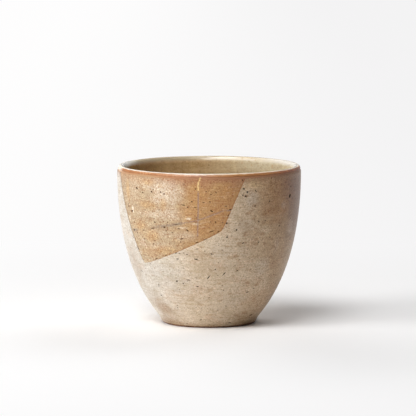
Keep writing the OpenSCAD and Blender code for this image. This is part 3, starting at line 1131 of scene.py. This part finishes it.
class CUP_OT_throw_clay(bpy.types.Operator):
    """Throws the wall, floor and lip, and turns the foot"""

    bl_idname = "cup.throw_clay"
    bl_label = "Throw the clay"

    def execute(self, context):
        outline = hollow_outline() + outside_outline() + inside_outline()
        piece = trace("thrown_clay", [Vector((p.x, 0, p.y)) for p in outline])
        spin(piece)
        throw(piece)
        make_groups()
        paint_clay(piece)
        finish_piece(piece, "clay_body")
        return {"FINISHED"}


class CUP_OT_glaze_inside(bpy.types.Operator):
    """Pours the glossy glaze inside and over the lip"""

    bl_idname = "cup.glaze_inside"
    bl_label = "Glaze the inside"

    def execute(self, context):
        piece = coat("poured_inside_glaze", clay_piece(), on_inside(), GLAZE_W)
        paint_inside(piece)
        finish_piece(piece, "inside_glaze")
        return {"FINISHED"}


class CUP_OT_draw_iron_line(bpy.types.Operator):
    """Draws the iron line under the lip"""

    bl_idname = "cup.draw_iron_line"
    bl_label = "Draw the iron line"

    def execute(self, context):
        piece = coat("brushed_iron_line", clay_piece(), on_outside(LINE_Z, LAP_Z), sizes().iron_width,
                     LINE_MELT)
        paint_iron(piece)
        finish_piece(piece, "iron_line")
        return {"FINISHED"}


class CUP_OT_glaze_outside(bpy.types.Operator):
    """Dips the outside in the ash glaze, leaves the window and opens the pits"""

    bl_idname = "cup.glaze_outside"
    bl_label = "Glaze the outside"

    def execute(self, context):
        piece = coat("dipped_ash_glaze", clay_piece(), on_outside(BARE_Z, LINE_Z), GLAZE_W)
        paint_ash(piece)
        marks = marks_seen(piece, ASH_PITS) + marks_round_the_back(piece)
        cutters = pit_cutters("ash_pits", "ash_pit", marks, PIT_SHARE * GLAZE_W)
        cut(piece, window_block(), "DIFFERENCE")
        cut(piece, cutters, "DIFFERENCE")
        finish_piece(piece, "outside_glaze")
        return {"FINISHED"}


class CUP_OT_glaze_window(bpy.types.Operator):
    """Fills the window with the thinner orange glaze and opens its pits"""

    bl_idname = "cup.glaze_window"
    bl_label = "Glaze the window"

    def execute(self, context):
        piece = coat("dipped_orange_glaze", clay_piece(), on_outside(BARE_Z, LINE_Z),
                     sizes().orange_width)
        paint_orange(piece)
        marks = marks_seen(piece, ORANGE_PITS)
        cutters = pit_cutters("orange_pits", "orange_pit", marks, PIT_SHARE * sizes().orange_width)
        cut(piece, window_block(), "INTERSECT")
        cut(piece, cutters, "DIFFERENCE")
        store_border(piece)
        finish_piece(piece, "orange_glaze")
        return {"FINISHED"}


def make_floor():
    """A pale floor that keeps the cup's shadow and turns white away from it, with painted light: brighter
    at the left and dimmer at the right.
    """
    deselect_all()
    bpy.ops.mesh.primitive_circle_add(vertices=96, radius=FLOOR_RADIUS, fill_type="NGON")
    floor = bpy.context.object
    floor.name = "studio_floor"
    made = bpy.data.materials.new("studio_floor")
    made.use_nodes = True
    n = Nodes(made.node_tree)
    made.node_tree.nodes.remove(made.node_tree.nodes["Principled BSDF"])
    output = made.node_tree.nodes["Material Output"]
    paper = n.add("BsdfDiffuse", {"Color": "floor"})
    # Painted light: the far floor brighter at the left, towards the lamps, and dimmer at the right
    tint = n.mix(n.across(-200, 200), (0.99, 0.985, 0.985), (0.90, 0.895, 0.90))
    plain = n.add("Emission", {"Color": tint, "Strength": 1.0})
    far = n.vector("LENGTH", n.place((0.7, 1, 1))).outputs["Value"]
    path = n.add("LightPath").outputs
    seen = n.math("MAXIMUM", path["Is Camera Ray"], path["Is Glossy Ray"])
    away = n.times(n.ease(far, 0.1, 0.3), seen)
    shader = n.add("MixShader", {0: away, 1: paper.outputs[0], 2: plain.outputs[0]})
    n.feed(output.inputs["Surface"], shader.outputs[0])
    floor.data.materials.append(made)


def make_lamp(name):
    """A soft lamp at its place in the table of lamps, aimed at the cup."""
    azimuth, elevation, width, height, glossy = LAMPS[name]
    s = studio()
    round_it = math.radians(azimuth)
    up = math.radians(elevation)
    way = Vector((-math.sin(round_it) * math.cos(up), -math.cos(round_it) * math.cos(up), math.sin(up)))
    deselect_all()
    bpy.ops.object.light_add(type="AREA", location=way * s.reach)
    lamp = bpy.context.object
    lamp.name = f"{name}_lamp"
    lamp.rotation_euler = (-way).to_track_quat("-Z", "Y").to_euler()
    lamp.visible_glossy = glossy
    lamp.data.energy = getattr(s, f"{name}_power")
    lamp.data.shape = "RECTANGLE"
    lamp.data.size = width
    lamp.data.size_y = height
    return lamp


def light_only(lamp, piece):
    """Lets a lamp show as gloss on one piece and light nothing else."""
    lit = bpy.data.collections.new(f"{lamp.name}_lights")
    lit.objects.link(piece)
    lamp.light_linking.receiver_collection = lit
    lamp.visible_diffuse = False


def make_camera():
    """The camera at the photograph's place."""
    deselect_all()
    bpy.ops.object.camera_add()
    camera = bpy.context.object
    camera.name = "photo_camera"
    camera.matrix_world = camera_matrix()
    camera.data.sensor_width = SENSOR_MM
    camera.data.lens = studio().lens
    camera.data.clip_end = 100
    bpy.context.scene.camera = camera


class CUP_OT_set_studio(bpy.types.Operator):
    """Sets the floor, the light and the camera"""

    bl_idname = "cup.set_studio"
    bl_label = "Set the studio"

    def execute(self, context):
        world = bpy.data.worlds.new("studio")
        context.scene.world = world
        world.use_nodes = True
        n = Nodes(world.node_tree)
        sky = world.node_tree.nodes["Background"]
        n.feed(sky.inputs["Color"], (1, 1, 1))
        path = n.add("LightPath").outputs
        gloss = n.times(path["Is Glossy Ray"], studio().backdrop)
        n.feed(sky.inputs["Strength"], n.math("MAXIMUM", path["Is Camera Ray"], gloss))
        context.scene.view_settings.view_transform = "Standard"
        make_floor()
        lamps = {name: make_lamp(name) for name in LAMPS}
        gloss_lamp = lamps["gloss"]
        gloss_lamp.data.color = GLOSS_COLOUR
        light_only(gloss_lamp, bpy.data.objects["poured_inside_glaze"])
        make_camera()
        return {"FINISHED"}


class CUP_PT_sidebar(bpy.types.Panel):
    """Lists the steps of the cup and its settings"""

    bl_idname = "CUP_PT_sidebar"
    bl_label = "Tea cup"
    bl_space_type = "VIEW_3D"
    bl_region_type = "UI"
    bl_category = "Tea Cup"

    def draw(self, context):
        for step in STEPS:
            self.layout.operator(step.bl_idname)
        for group in (context.scene.cup_sizes, context.scene.glaze_colours, context.scene.studio):
            box = self.layout.box()
            for name in group.__annotations__:
                box.prop(group, name)


STEPS = (CUP_OT_throw_clay, CUP_OT_glaze_inside, CUP_OT_draw_iron_line, CUP_OT_glaze_outside,
         CUP_OT_glaze_window, CUP_OT_set_studio)
CLASSES = (CupSizes, GlazeColours, StudioSettings, *STEPS, CUP_PT_sidebar)


def register():
    """Registers the classes and their settings."""
    for cls in CLASSES:
        bpy.utils.register_class(cls)
    bpy.types.Scene.cup_sizes = PointerProperty(type=CupSizes)
    bpy.types.Scene.glaze_colours = PointerProperty(type=GlazeColours)
    bpy.types.Scene.studio = PointerProperty(type=StudioSettings)


def unregister():
    """Takes the classes and their settings away again."""
    del bpy.types.Scene.studio
    del bpy.types.Scene.glaze_colours
    del bpy.types.Scene.cup_sizes
    for cls in reversed(CLASSES):
        bpy.utils.unregister_class(cls)


def write_sizes():
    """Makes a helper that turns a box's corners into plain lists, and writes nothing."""
    def plain(box):
        return [list(corner) for corner in box]


def main():
    """Builds the cup and its studio."""
    register()
    bpy.ops.cup.throw_clay()
    bpy.ops.cup.glaze_inside()
    bpy.ops.cup.draw_iron_line()
    bpy.ops.cup.glaze_outside()
    bpy.ops.cup.glaze_window()
    bpy.ops.cup.set_studio()
    write_sizes()


if __name__ == "__main__":
    main()
